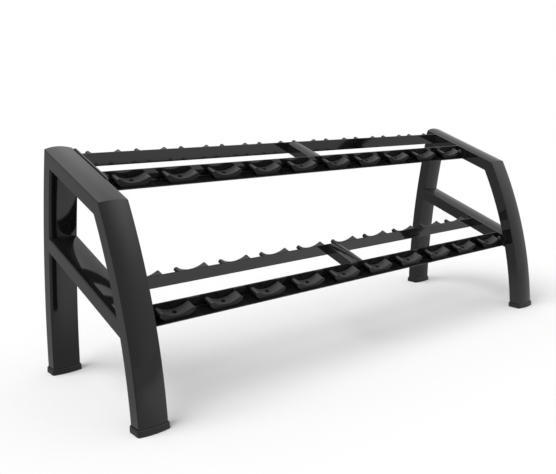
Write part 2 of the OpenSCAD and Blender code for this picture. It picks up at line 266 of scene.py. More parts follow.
BOOT_RUBBER = boot_rubber()
print("made", BOOT_RUBBER.name)

# %% [markdown]
# There are three finishes for the fasteners: black oxide on the saddles' screws, which sit deep in their
# recesses, the same oxide worn to grey by the spanner on the trays' bolts, and zinc on the washers and
# nuts. All are metals, so the colour is the colour of the reflection.

# %% Fastener finishes
MARK_WAVES, MARK_DEPTH = 1600.0, 0.004 * MM


def fastener_metal(name, dark, light, roughness):
    material, graph = start_finish(name)
    clouds = noise(graph, 120.0, 3.0)
    marks = noise(graph, MARK_WAVES, 2.0)
    rough = clouds * 0.12 + marks * 0.08 + roughness
    end_finish(graph, (dark, light), clouds, rough, marks, MARK_DEPTH, Metallic=1.0)
    return material


BLACK_OXIDE = fastener_metal("black_screws", (0.010, 0.010, 0.011, 1), (0.020, 0.019, 0.019, 1), 0.34)
WORN_OXIDE = fastener_metal("worn_bolts", (0.24, 0.24, 0.245, 1), (0.37, 0.37, 0.375, 1), 0.27)
ZINC = fastener_metal("plated_steel", (0.42, 0.42, 0.44, 1), (0.56, 0.56, 0.57, 1), 0.22)
print("made", BLACK_OXIDE.name, WORN_OXIDE.name, ZINC.name)

# %% [markdown]
# ## From rings to a mesh
#
# Most pieces here are lofts: closed rings of points, one after another, skinned with quads. A ring may
# be a tube's section, an outline of a plate or a circle of a screw. Two flat ends close the shape.
#
# Soft shading on a box-like loft bleeds from the rounded edges into the flat faces. The Weighted Normal
# modifier stops that, because each normal then leans towards the largest face beside it.

# %% Loft and finish a piece
def loft(name, rings, close=True):
    """A mesh object through rings of (x, y, z) points, all with the same number of points."""
    count = len(rings[0])
    points = [tuple(point) for ring in rings for point in ring]
    faces = []
    for k in range(len(rings) - 1):
        for i in range(count):
            j = (i + 1) % count
            faces.append((k * count + i, k * count + j, (k + 1) * count + j, (k + 1) * count + i))
    if close:
        faces.append(tuple(range(count - 1, -1, -1)))
        last = (len(rings) - 1) * count
        faces.append(tuple(range(last, last + count)))
    mesh = bpy.data.meshes.new(name)
    mesh.from_pydata(points, [], faces)
    piece = bpy.data.objects.new(name, mesh)
    bpy.context.scene.collection.objects.link(piece)
    return piece


def outward(piece):
    """Turns the faces of a closed shell outwards."""
    shell = bmesh.new()
    shell.from_mesh(piece.data)
    bmesh.ops.recalc_face_normals(shell, faces=shell.faces)
    shell.to_mesh(piece.data)
    shell.free()


def settle(piece, material, crease=35.0):
    """Applies a piece's modifiers and smooths it, except across edges sharper than the crease."""
    if piece.modifiers:
        bake(piece)
    outward(piece)
    piece.data.shade_smooth()
    piece.data.set_sharp_from_angle(angle=math.radians(crease))
    weigh = piece.modifiers.new("weigh", "WEIGHTED_NORMAL")
    weigh.keep_sharp = True
    bake(piece)
    piece.data.materials.clear()
    piece.data.materials.append(material)
    return piece


def bake(piece):
    """Turns what the modifiers show into the piece's own plain mesh."""
    seen = piece.evaluated_get(bpy.context.evaluated_depsgraph_get())
    mesh = bpy.data.meshes.new_from_object(seen)
    mesh.name = piece.name
    piece.modifiers.clear()
    piece.data = mesh


def stand_for(piece, slot, *nodes):
    """The piece takes the place of its solids: it hangs under the root's empty, and the solids are hidden."""
    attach(piece, "root")
    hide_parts(*nodes)


print("loft helpers ready")

# %% [markdown]
# ## The crowned section
#
# The frame tube has two flat sides and two faces that bulge a few millimetres. Each bulge is one arc, and
# it runs into the rounded long edge without a corner, which keeps the highlight in one piece. The outline
# is worked out, not drawn: from the width and the rise comes the arc's radius, and from that the point
# where the edge's circle touches it.

# %% The crowned section
def turn(centre, radius, first, last, steps):
    """Points along an arc, with its angles in degrees."""
    angles = [math.radians(first + (last - first) * k / steps) for k in range(steps + 1)]
    return [(centre[0] + radius * math.cos(a), centre[1] + radius * math.sin(a)) for a in angles]


class Crowned:
    """A crowned section. Its first axis is across the crowned faces and its second one is along them."""

    def __init__(self, width, thickness, crown, edge):
        self.half = width / 2
        self.edge = edge
        self.radius = (self.half**2 + crown**2) / (2 * crown)
        self.centre = thickness / 2 + crown - self.radius
        reach = self.radius - edge
        self.edge_at = self.centre + math.sqrt(reach**2 - (self.half - edge) ** 2)
        self.lean = math.degrees(math.asin((self.half - edge) / reach))

    def outline(self, grow=0.0, crown_steps=20, edge_steps=6):
        """The closed outline, grown outwards by a distance."""
        edge = self.edge + grow
        near = self.half - self.edge
        face = turn((self.centre, 0), self.radius + grow, -self.lean, self.lean, crown_steps)
        corner = turn((self.edge_at, near), edge, self.lean, 90, edge_steps)
        side = face + corner[1:]
        other = [(-a, b) for a, b in reversed(corner[1:])]
        back = [(-a, b) for a, b in reversed(face)]
        last = [(-a, -b) for a, b in corner[1:]]
        return side + other + back + last + [(a, -b) for a, b in reversed(corner[1:])]

    def rise(self, b):
        """How far the crowned face stands from the middle, at a distance b along it."""
        b = min(abs(b), self.half)
        near = self.half - self.edge
        if b <= self.radius * math.sin(math.radians(self.lean)):
            return self.centre + math.sqrt(self.radius**2 - b * b)
        return self.edge_at + math.sqrt(max(self.edge**2 - (b - near) ** 2, 0))


TUBE = Crowned(TUBE_W, TUBE_T, TUBE_CROWN, TUBE_EDGE)
BEAM = Crowned(BEAM_W, BEAM_T, BEAM_CROWN, BEAM_EDGE)
print("tube section:", len(TUBE.outline()), "points, crown radius", round(TUBE.radius / MM, 1), "mm")

# %% [markdown]
# ## The arched legs
#
# A leg is the crowned section swept along an arc. It ends at the boot's floor, which is level, and at the
# mitre, which halves the angle between the leg and the top tube. A plain sweep ends square to its path
# and would need two cuts.
#
# So the leg starts as a blank: the same section from 0 to 1 along Z. A Geometry Nodes tree then bends it
# by a rule. Each point keeps its place in the section, which gives it a radius about the arc's centre.
# Its Z says how far it has come between the two angles at which a circle of that radius meets the floor
# plane and the mitre plane. Both ends come out exact, and the quads stay even.

# %% The slope's axes and the mitres
UP_SLOPE = (math.cos(TILT), math.sin(TILT))
OFF_SLOPE = (-math.sin(TILT), math.cos(TILT))


def on_slope(height, along, above):
    """(y, z) of a point in the frame of a tube whose upper edges pass a height at the rack's middle."""
    y = along * UP_SLOPE[0] + above * OFF_SLOPE[0]
    return y, height + along * UP_SLOPE[1] + above * OFF_SLOPE[1]


def in_slope(height, y, z):
    """The inverse of on_slope: how far along and above the tube's upper edges a point is."""
    z = z - height
    return y * UP_SLOPE[0] + z * UP_SLOPE[1], y * OFF_SLOPE[0] + z * OFF_SLOPE[1]


class Leg:
    """An arched leg: its arc's centre and outer radius, and its mitre with the top tube."""

    def __init__(self, centre, radius, out):
        self.centre = centre
        self.radius = radius
        self.out = out
        along, above = in_slope(TUBE_HEIGHT["upper"], *centre)
        self.mitre = self.crossing(TUBE_HEIGHT["upper"], radius, 0.0)
        half_turn = (math.atan2(-above, self.mitre - along) - math.pi / 2) / 2
        self.slant = (math.sin(half_turn), -math.cos(half_turn))

    def crossing(self, height, radius, level):
        """Where a circle about the arc's centre crosses a level of a tube, along that tube."""
        along, above = in_slope(height, *self.centre)
        return along + self.out * math.sqrt(radius**2 - (level - above) ** 2)


REAR = Leg((FOOT_DEPTH / 2 - REAR_R, 0.0), REAR_R, 1)
FRONT = Leg((-FOOT_DEPTH / 2 + FRONT_R * math.cos(FRONT_LEAN), -FRONT_R * math.sin(FRONT_LEAN)), FRONT_R, -1)
print("mitres along the slope:", round(FRONT.mitre, 4), round(REAR.mitre, 4))

# %% A tree that bends a blank into a leg
def leg_tree():
    tree = bpy.data.node_groups.new("arched tube", "GeometryNodeTree")
    tree.interface.new_socket("Geometry", in_out="INPUT", socket_type="NodeSocketGeometry")
    names = ["Middle X", "Out", "Radius", "Centre Y", "Centre Z", "Foot Z"]
    names += ["Mitre Y", "Mitre Z", "Mitre Slant Y", "Mitre Slant Z"]
    for name in names:
        tree.interface.new_socket(name, in_out="INPUT", socket_type="NodeSocketFloat")
    tree.interface.new_socket("Geometry", in_out="OUTPUT", socket_type="NodeSocketGeometry")
    graph = Graph(tree)
    group = tree.nodes.new("NodeGroupInput")
    size = {name: Wire(graph, group.outputs[name]) for name in names}
    here = graph.add("GeometryNodeInputPosition")
    across = graph.add("ShaderNodeSeparateXYZ", values={"Vector": here}, output=0)
    beside = graph.add("ShaderNodeSeparateXYZ", values={"Vector": here}, output=1)
    share = graph.add("ShaderNodeSeparateXYZ", values={"Vector": here}, output=2)

    # The radius of this point's circle, and the angle at which that circle meets the foot's plane
    radius = size["Radius"] + across
    foot = ((size["Foot Z"] - size["Centre Z"]) / radius).math("ARCSINE")
    # Where the circle meets the mitre's line: a quadratic in the distance along that line
    from_y = size["Mitre Y"] - size["Centre Y"]
    from_z = size["Mitre Z"] - size["Centre Z"]
    lean = from_y * size["Mitre Slant Y"] + from_z * size["Mitre Slant Z"]
    rest = lean * lean - from_y * from_y - from_z * from_z + radius * radius
    reach = 0 - lean - rest.math("SQRT")
    top_y = (from_y + reach * size["Mitre Slant Y"]) * size["Out"]
    top_z = from_z + reach * size["Mitre Slant Z"]
    top = top_z.math("ARCTAN2", top_y)

    angle = foot + (top - foot) * share
    y = size["Centre Y"] + size["Out"] * radius * angle.math("COSINE")
    z = size["Centre Z"] + radius * angle.math("SINE")
    place = graph.add("ShaderNodeCombineXYZ", values={"X": size["Middle X"] + beside, "Y": y, "Z": z})
    blank = Wire(graph, group.outputs["Geometry"])
    bent = graph.add("GeometryNodeSetPosition", values={"Geometry": blank, "Position": place})
    out = tree.nodes.new("NodeGroupOutput")
    tree.links.new(bent.socket, out.inputs["Geometry"])
    return tree


LEG_TREE = leg_tree()
print("tree:", LEG_TREE.name, "with", len(LEG_TREE.nodes), "nodes")

# %% Give a modifier its inputs
def grow_by(piece, tree, **inputs):
    """Adds a Geometry Nodes modifier and sets its inputs by name."""
    modifier = piece.modifiers.new(tree.name, "NODES")
    modifier.node_group = tree
    for item in tree.interface.items_tree:
        if item.in_out == "INPUT" and item.name in inputs:
            modifier[item.identifier] = inputs[item.name]


print("grow_by sets a tree's inputs by name")


# %% The four legs
LEG_STEPS = 56


def leg(name, side, shape):
    outline = TUBE.outline()
    blank = [[(a - TUBE_T / 2, b, k / LEG_STEPS) for a, b in outline] for k in range(LEG_STEPS + 1)]
    piece = loft(name, blank)
    mitre = on_slope(TUBE_HEIGHT["upper"], shape.mitre, 0.0)
    slant = on_slope(0.0, *shape.slant)
    inputs = {"Middle X": SIDES[side] * FRAME_X, "Foot Z": BOOT_FLOOR}
    inputs.update({"Out": shape.out, "Radius": shape.radius})
    inputs.update({"Centre Y": shape.centre[0], "Centre Z": shape.centre[1]})
    inputs.update({"Mitre Y": mitre[0], "Mitre Z": mitre[1]})
    inputs.update({"Mitre Slant Y": slant[0], "Mitre Slant Z": slant[1]})
    grow_by(piece, LEG_TREE, **inputs)
    return settle(piece, FRAME_PAINT)


for side in SIDES:
    for word, shape in (("rear", REAR), ("front", FRONT)):
        piece = leg(f"{side}_{word}_leg_tube", side, shape)
        stand_for(piece, "frame_paint", f"{side}_{word}_leg")
        print(piece.name, len(piece.data.polygons), "faces")

# %% [markdown]
# ## The straight tubes
#
# The top tube is straight, and both its ends lie in the mitre planes, so two rings are enough. The mid
# tube is let in between the legs, and its ends follow their crowned faces. At each point of its end, the
# leg's face has a radius that depends on how far the point is from the leg's middle, so the end is found
# point by point with the same crossing rule as the mitres.

# %% Top tubes and mid tubes
def slope_ring(side, height, outline, end):
    """A ring of a sloping tube. end(a, b) gives how far along the slope each point of the outline lies."""
    ring = []
    for a, b in outline:
        y, z = on_slope(height, end(a, b), a - TUBE_T / 2)
        ring.append((SIDES[side] * FRAME_X + b, y, z))
    return ring


def mitred(shape):
    """An end in the plane of the mitre with a leg."""
    return lambda a, b: shape.mitre + (a - TUBE_T / 2) * shape.slant[0] / shape.slant[1]


def coped(shape):
    """An end that follows a leg's crowned face, with room for the weld."""

    def end(a, b):
        face = shape.radius - TUBE_T / 2 - TUBE.rise(b) - WELD_GAP
        return shape.crossing(TUBE_HEIGHT["lower"], face, a - TUBE_T / 2)

    return end


for side in SIDES:
    for word, tier, end in (("top", "upper", mitred), ("mid", "lower", coped)):
        rings = [slope_ring(side, TUBE_HEIGHT[tier], TUBE.outline(), end(shape)) for shape in (FRONT, REAR)]
        piece = settle(loft(f"{side}_{word}_tube_painted", rings), FRAME_PAINT)
        stand_for(piece, "frame_paint", f"{side}_{word}_tube")
        print(piece.name, len(piece.data.polygons), "faces")

# %% [markdown]
# ## The rubber boots
#
# A boot is a cup pushed onto the leg: thin at its rim, with a round shoulder, and widest at the floor.
# The side profile below gives the rubber's distance from the leg at each height, first up the outside and
# then down the inside. Each entry becomes one ring, the tube's outline grown by that distance.

# %% The four boots
# Pairs in millimetres: the rubber's distance from the leg, and the height above the floor
OUTSIDE = [(4.6, 0.0), (5.5, 0.4), (6.0, 1.4), (5.9, 7.0), (5.7, 13.0), (5.5, 17.0), (5.1, 19.5), (4.5, 21.3)]
RIM = [(3.8, 22.6), (3.1, 23.5), (2.4, 23.9), (1.6, 24.0), (0.9, 23.8), (0.5, 23.3), (0.3, 22.6)]
INSIDE = [(0.3, 14.0), (0.3, 6.0)]


def boot(name, side, shape, lean):
    middle = shape.out * (FOOT_DEPTH - TUBE_T) / 2
    rings = []
    for grow, height in OUTSIDE + RIM + INSIDE:
        y = middle - shape.out * height * MM * math.tan(lean)
        outline = TUBE.outline(grow * MM)
        rings.append([(SIDES[side] * FRAME_X + b, y + a, height * MM) for a, b in outline])
    return settle(loft(name, rings), BOOT_RUBBER, crease=50.0)


for side in SIDES:
    for word, shape, lean in (("rear", REAR, 0.0), ("front", FRONT, FRONT_LEAN)):
        piece = boot(f"{side}_{word}_boot_rubber", side, shape, lean)
        stand_for(piece, "boot_rubber", f"{side}_{word}_boot")
        print(piece.name, len(piece.data.polygons), "faces")

# %% [markdown]
# ## The trays
#
# A rail is an angle: a wall, and a flange that meets it in two fillets and leaves a narrow lip of the wall
# below, which stiffens the rail's lower edge. Its section is drawn with its corners, each with a radius:
# larger in the fillets, and about half a millimetre where the plate was sheared. One helper turns such
# corners into arcs, and serves the rails and the end plates.

# %% Rounded outlines
def rounded(corners, steps=5):
    """A closed outline from corners (x, y, radius), each rounded by an arc of that radius."""
    points = []
    for k, (x, y, radius) in enumerate(corners):
        corner = Vector((x, y))
        before = Vector(corners[k - 1][:2]) - corner
        after = Vector(corners[(k + 1) % len(corners)][:2]) - corner
        before.normalize()
        after.normalize()
        half = before.angle(after) / 2
        middle = corner + (before + after).normalized() * radius / math.sin(half)
        first = corner + before * radius / math.tan(half) - middle
        last = corner + after * radius / math.tan(half) - middle
        sweep = first.angle_signed(last)
        for step in range(steps + 1):
            spoke = Matrix.Rotation(-sweep * step / steps, 2) @ first
            points.append(tuple(middle + spoke))
    return points


LEG_BACK = FRONT.crossing(TUBE_HEIGHT["lower"], FRONT_R - TUBE_T, TRAY_PROUD - RAIL_H / 2)
TRAY_AT = {"upper": REAR.mitre - UPPER_TRAY_ROOM - TRAY_HALF}
TRAY_AT["lower"] = LEG_BACK + LOWER_BOLT_ROOM + BOLT_OFFSET


def in_tray(tier, x, t, n):
    """The place of a point in a tray: t up the slope and n off it, from the middle of its top edges."""
    return x, *on_slope(TUBE_HEIGHT[tier], TRAY_AT[tier] + t, TRAY_PROUD + n)


print("a tray's middle:", [round(v, 4) for v in in_tray("upper", 0, 0, 0)])

# %% The four angle rails
SHEARED, RAIL_LIP = 0.6 * MM, 4 * MM


def rail(name, tier, end):
    wall = end * RAIL_GAP / 2
    corners = [(0, 0, SHEARED), (0, -RAIL_H - RAIL_LIP, SHEARED), (RAIL_T, -RAIL_H - RAIL_LIP, SHEARED)]
    corners += [(RAIL_T, -RAIL_H, RAIL_BEND), (RAIL_FLANGE, -RAIL_H, SHEARED)]
    corners += [(RAIL_FLANGE, RAIL_T - RAIL_H, SHEARED), (RAIL_T, RAIL_T - RAIL_H, RAIL_BEND)]
    corners.append((RAIL_T, 0, SHEARED))
    section = rounded(corners, 6)
    rings = [[in_tray(tier, x, wall + end * a, n) for a, n in section] for x in (-RAIL_X, RAIL_X)]
    return settle(loft(name, rings), TRAY_PAINT)


for tier in TIERS:
    for word, end in (("front", -1), ("rear", 1)):
        piece = rail(f"{tier}_{word}_rail_painted", tier, end)
        stand_for(piece, "tray_paint", f"{tier}_{word}_rail")
        print(piece.name, len(piece.data.polygons), "faces")

# %% Centre beams and end plates
PLATE_EASE = 0.8 * MM


def eased(depth, radius, steps=4):
    """(inset, place) pairs that round both rims of a plate of a given depth."""
    arc = [math.pi / 2 * k / steps for k in range(steps + 1)]
    first = [(radius * (1 - math.sin(a)), radius * (1 - math.cos(a))) for a in arc]
    return first + [(inset, depth - place) for inset, place in reversed(first)]


def end_plate(name, tier, side):
    rings = []
    for inset, depth in eased(PLATE_T, PLATE_EASE):
        t, n, r = TRAY_HALF - inset, RAIL_H / 2 - inset, PLATE_CORNER - inset
        outline = rounded([(t, n, r), (-t, n, r), (-t, -n, r), (t, -n, r)], 8)
        x = SIDES[side] * (RAIL_X + depth)
        rings.append([in_tray(tier, x, a, b - RAIL_H / 2) for a, b in outline])
    return settle(loft(name, rings), TRAY_PAINT)


for tier in TIERS:
    ends = (-RAIL_GAP / 2, RAIL_GAP / 2)
    rings = [[in_tray(tier, b, t, a - RAIL_H / 2) for a, b in BEAM.outline()] for t in ends]
    piece = settle(loft(f"{tier}_centre_beam_painted", rings), TRAY_PAINT)
    stand_for(piece, "tray_paint", f"{tier}_centre_beam")
    for side in SIDES:
        piece = end_plate(f"{tier}_{side}_end_plate_painted", tier, side)
        stand_for(piece, "tray_paint", f"{tier}_{side}_end_plate")
    print(tier, "tray: a beam and two end plates")

# %% [markdown]
# ## The saddles
#
# A saddle is one moulding: a foot, two flanks that open upwards, a round nose and a flat land on each
# horn, and the cradle between them, which is one arc. All forty are alike, so one is made with care and
# a Geometry Nodes tree sets it on every place.
#
# The outline is extruded across the rail. The two end rings have a slightly larger cradle, which gives the
# bevel along its front and back edges, and a fine Bevel modifier then takes the sharpness off the rest, as
# the mould does. The screw's recess is cut with a turned cutter, whose steep lead-in guides the screw's
# head and leaves the moulding tool easily.

# %% Sizes of a saddle
SADDLE_COUNT = 10
SADDLE_W, SADDLE_FOOT_W, SADDLE_DEPTH, SADDLE_H = 150 * MM, 92 * MM, 45 * MM, 37 * MM
SADDLE_WEB, HORN_R, HORN_LAND, CRADLE_BEVEL = 17 * MM, 9 * MM, 4.5 * MM, 1.5 * MM
SCREW_D, SCREW_RECESS, HOLE_GAP, LEAD_IN = 8 * MM, 9.5 * MM, 0.5 * MM, 2 * MM
SCREW_HEAD_R, MOULD_EDGE = 0.8 * SCREW_D, 0.7 * MM
CRADLE_HALF = SADDLE_W / 2 - HORN_R - HORN_LAND
CRADLE_R = (CRADLE_HALF**2 + (SADDLE_H - SADDLE_WEB) ** 2) / (2 * (SADDLE_H - SADDLE_WEB))
SEAT = SADDLE_WEB - SCREW_RECESS
print("cradle radius", round(CRADLE_R / MM, 1), "mm")

# %% Turned and hexagonal shapes
def turned(name, profile, steps=36, bored=False):
    """A shape through rings (radius, height, flats): flats is the width across the flats of a hexagon."""
    rings = []
    for radius, height, flats in profile + (profile[:1] if bored else []):
        ring = []
        for k in range(steps):
            angle = math.tau * k / steps
            off_flat = (angle + math.pi / 6) % (math.pi / 3) - math.pi / 6
            r = min(radius, flats / 2 / math.cos(off_flat)) if flats else radius
            ring.append((r * math.cos(angle), r * math.sin(angle), height))
        rings.append(ring)
    piece = loft(name, rings, close=not bored)
    if bored:
        shell = bmesh.new()
        shell.from_mesh(piece.data)
        bmesh.ops.remove_doubles(shell, verts=shell.verts, dist=1e-7)
        shell.to_mesh(piece.data)
        shell.free()
    return piece


print("turned shapes ready")

# %% One saddle
def saddle_outline(bevel):
    """The outline, with its cradle cut deeper by a bevel."""
    horn = (SADDLE_W / 2 - HORN_R, SADDLE_H - HORN_R)
    reach = (horn[0] - SADDLE_FOOT_W / 2, horn[1])
    flank = math.degrees(math.atan2(reach[1], reach[0]) - math.asin(HORN_R / math.hypot(*reach)))
    right = [(SADDLE_FOOT_W / 2, 0.0)] + turn(horn, HORN_R, flank - 90, 90, 10)
    centre = SADDLE_WEB + CRADLE_R
    half = math.sqrt((CRADLE_R + bevel) ** 2 - (centre - SADDLE_H) ** 2)
    sweep = math.degrees(math.asin(half / (CRADLE_R + bevel)))
    cradle = turn((0.0, centre), CRADLE_R + bevel, sweep - 90, -sweep - 90, 32)
    return right + cradle + [(-x, z) for x, z in reversed(right)]


def saddle():
    half = SADDLE_DEPTH / 2
    stations = [(-half, CRADLE_BEVEL), (CRADLE_BEVEL - half, 0.0)]
    stations += [(half - CRADLE_BEVEL, 0.0), (half, CRADLE_BEVEL)]
    piece = loft("saddle", [[(x, y, z) for x, z in saddle_outline(bevel)] for y, bevel in stations])
    outward(piece)
    head_hole = SCREW_HEAD_R + HOLE_GAP
    shank_hole = SCREW_D / 2 + HOLE_GAP
    profile = [(shank_hole, -MM, 0), (shank_hole, SEAT, 0), (head_hole, SEAT, 0)]
    profile += [(head_hole, SEAT + LEAD_IN, 0), (head_hole + LEAD_IN, SADDLE_WEB, 0)]
    cutter = turned("recess", profile + [(head_hole + 2 * LEAD_IN, SADDLE_WEB + 3 * LEAD_IN, 0)])
    outward(cutter)
    cut = piece.modifiers.new("recess", "BOOLEAN")
    cut.object = cutter
    cut.solver = "EXACT"
    bake(piece)
    soft = piece.modifiers.new("soft edges", "BEVEL")
    soft.width = MOULD_EDGE
    soft.segments = 2
    soft.limit_method = "ANGLE"
    soft.angle_limit = math.radians(40)
    settle(piece, SADDLE_PLASTIC)
    bpy.data.objects.remove(cutter)
    return piece


SADDLE = saddle()
print("one saddle:", len(SADDLE.data.polygons), "faces")

# %% [markdown]
# ## Everything that repeats along the trays
#
# Saddles, screws, washers and nuts all stand on the same forty places, and the tray bolts on eight. Both
# patterns are rows of points in a tray's own plane, a spread to the front and to the back, copied to two
# trays and tilted. One tree does this. The bolts point outwards at both ends, so the tree can also turn
# each copy about Y by an angle whose sign is that of the point's X.

# %% A tree that sets a piece on every place
def tray_places_tree():
    tree = bpy.data.node_groups.new("on both trays", "GeometryNodeTree")
    tree.interface.new_socket("Geometry", in_out="INPUT", socket_type="NodeSocketGeometry")
    kinds = {"Piece": "Object", "Count": "Int", "Pitch": "Float", "Spread": "Float", "Level": "Float"}
    kinds.update({"Turn": "Float", "Tilt": "Float", "Upper": "Vector", "Lower": "Vector"})
    kinds["Finish"] = "Material"
    for name, kind in kinds.items():
        tree.interface.new_socket(name, in_out="INPUT", socket_type=f"NodeSocket{kind}")
    tree.interface.new_socket("Geometry", in_out="OUTPUT", socket_type="NodeSocketGeometry")
    graph = Graph(tree)
    group = tree.nodes.new("NodeGroupInput")
    size = {name: Wire(graph, group.outputs[name]) for name in kinds}
    copy = graph.add("GeometryNodeObjectInfo", values={"Object": size["Piece"]}, output="Geometry")
    first = (1 - size["Count"]) * size["Pitch"] * 0.5
    step = graph.add("ShaderNodeCombineXYZ", values={"X": size["Pitch"]})
    rows = []
    for spread in (0 - size["Spread"], size["Spread"]):
        start = graph.add("ShaderNodeCombineXYZ", values={"X": first, "Y": spread, "Z": size["Level"]})
        line = {"Count": size["Count"], "Start Location": start, "Offset": step}
        rows.append(graph.add("GeometryNodeMeshLine", {"mode": "OFFSET"}, line))
    points = graph.add("GeometryNodeJoinGeometry", values={"Geometry": rows})
    here = graph.add("GeometryNodeInputPosition")
    side = graph.add("ShaderNodeSeparateXYZ", values={"Vector": here}, output=0).math("SIGN")
    facing = graph.add("ShaderNodeCombineXYZ", values={"Y": side * size["Turn"]})
    inputs = {"Points": points, "Instance": copy, "Rotation": facing}
    tray = graph.add("GeometryNodeInstanceOnPoints", values=inputs)
    tilt = graph.add("ShaderNodeCombineXYZ", values={"X": size["Tilt"]})
    trays = []
    for name in ("Upper", "Lower"):
        inputs = {"Geometry": tray, "Translation": size[name], "Rotation": tilt}
        trays.append(graph.add("GeometryNodeTransform", values=inputs))
    both = graph.add("GeometryNodeJoinGeometry", values={"Geometry": trays})
    real = graph.add("GeometryNodeRealizeInstances", values={"Geometry": both})
    done = graph.add("GeometryNodeSetMaterial", values={"Geometry": real, "Material": size["Finish"]})
    out = tree.nodes.new("NodeGroupOutput")
    tree.links.new(done.socket, out.inputs["Geometry"])
    return tree


PLACES_TREE = tray_places_tree()
print("tree:", PLACES_TREE.name, "with", len(PLACES_TREE.nodes), "nodes")

# %% Set pieces on the trays
SADDLE_ENDS = [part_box(f"upper_saddle_pair_{number}")[0].x for number in ("01", "10")]
SADDLE_PITCH = (SADDLE_ENDS[1] - SADDLE_ENDS[0]) / (SADDLE_COUNT - 1)
SADDLE_SPREAD = RAIL_GAP / 2 + RAIL_T + 2 * MM + SADDLE_DEPTH / 2
ON_FLANGES = {"Count": SADDLE_COUNT, "Pitch": SADDLE_PITCH, "Spread": SADDLE_SPREAD, "Turn": 0.0}
ON_FLANGES["Level"] = RAIL_T - RAIL_H
ON_PLATES = {"Count": 2, "Pitch": 2 * INNER_X, "Spread": BOLT_OFFSET}
ON_PLATES.update({"Level": -RAIL_H / 2, "Turn": math.pi / 2})


def on_trays(name, one, places, finish, slot, *nodes):
    """Copies one piece to all its places, removes the original and stands in for the nodes."""
    mesh = bpy.data.meshes.new(name)
    piece = bpy.data.objects.new(name, mesh)
    bpy.context.scene.collection.objects.link(piece)
    middles = {tier.title(): in_tray(tier, 0.0, 0.0, 0.0) for tier in TIERS}
    grow_by(piece, PLACES_TREE, Piece=one, Tilt=TILT, Finish=finish, **places, **middles)
    bake(piece)
    bpy.data.objects.remove(one)
    stand_for(piece, slot, *nodes)
    print(name, len(piece.data.polygons), "faces")


pairs = [f"{tier}_saddle_pair_{k:02d}" for tier in TIERS for k in range(1, SADDLE_COUNT + 1)]
on_trays("moulded_saddles", SADDLE, ON_FLANGES, SADDLE_PLASTIC, "saddle_plastic", *pairs)

# %% [markdown]
# ## The fasteners
#
# Each is a turned profile, with a hexagon wherever flats are given. A real hexagon head is turned before
# it is milled: a 30 degree cone takes its corners off, so the flats end in curves. Taking the smaller of
# the cone's radius and the hexagon's gives just that. Only the last turns of a thread show, so a few
# crests on the tail stand for it.

# %% Hexagon heads, nuts and washers
TURNED_FACE, TURNED_CONE = 0.475, math.radians(30)
NUT_EASE, WASHER_EASE = 0.5 * MM, 0.25 * MM
CREST_AT, ROOT_AT, THREAD_DEPTH = 0.3, 0.8, 0.6


def chamfered_hex(flats, low, high):
    """The outside of a hexagon from one height to another, its corners turned off at both ends."""
    corner = flats / math.sqrt(3)
    face = TURNED_FACE * flats
    drop = (corner - face) * math.tan(TURNED_CONE)
    return [(face, low, 0), (corner, low + drop, flats), (corner, high - drop, flats), (face, high, 0)]


def nut(name, flats, bore, low, high):
    ease = NUT_EASE
    inside = [(bore / 2 + ease, high, 0), (bore / 2, high - ease, 0), (bore / 2, low + ease, 0)]
    return turned(name, chamfered_hex(flats, low, high) + inside + [(bore / 2 + ease, low, 0)], bored=True)


def washer(name, width, bore, low, high):
    ease = WASHER_EASE
    outside = [(width / 2 - ease, low, 0), (width / 2, low + ease, 0), (width / 2, high - ease, 0)]
    inside = [(width / 2 - ease, high, 0), (bore / 2, high, 0), (bore / 2, low, 0)]
    return turned(name, outside + inside, bored=True)


def thread(radius, first, last, pitch):
    """Crests and roots along a tail, from one height to another."""
    turns = max(1, round(abs(last - first) / pitch))
    step = (last - first) / turns
    crests = []
    for k in range(turns):
        crests.append((radius, first + (k + CREST_AT) * step, 0))
        crests.append((radius - THREAD_DEPTH * pitch, first + (k + ROOT_AT) * step, 0))
    return crests


print("fastener helpers ready")

# %% The saddles' screws, washers and nuts
WASHER_T, NUT_H, NUT_FLATS, PROUD = 1.6 * MM, 0.8 * SCREW_D, 1.6 * SCREW_D, 3 * MM
THREAD_GAP, SCREW_PITCH, BOLT_PITCH = 0.2 * MM, 1.25 * MM, 1.5 * MM
NUT_TOP = -RAIL_T - WASHER_T
TAIL = NUT_TOP - NUT_H - PROUD
head, socket, rim = SCREW_HEAD_R, 0.75 * SCREW_D, 0.6 * MM
mouth, top = 0.62 * socket, SEAT + SCREW_D
profile = [(socket, top - SCREW_D / 2, socket), (socket, top - rim, socket), (mouth, top, 0)]
profile += [(head - rim, top, 0), (head, top - rim, 0), (head, SEAT, 0), (SCREW_D / 2, SEAT, 0)]
profile += thread(SCREW_D / 2, NUT_TOP, TAIL, SCREW_PITCH) + [(SCREW_D / 2 - MM, TAIL, 0)]
one = settle(turned("screw", profile), BLACK_OXIDE)
on_trays("saddle_socket_screws", one, ON_FLANGES, BLACK_OXIDE, "black_screws", "saddle_screws")
one = settle(washer("washer", 2 * SCREW_D, SCREW_D + 2 * HOLE_GAP, NUT_TOP, -RAIL_T), ZINC)
on_trays("saddle_screw_washers", one, ON_FLANGES, ZINC, "plated_steel", "saddle_washers")
one = settle(nut("nut", NUT_FLATS, SCREW_D + THREAD_GAP, NUT_TOP - NUT_H, NUT_TOP), ZINC)
on_trays("saddle_screw_nuts", one, ON_FLANGES, ZINC, "plated_steel", "saddle_nuts")

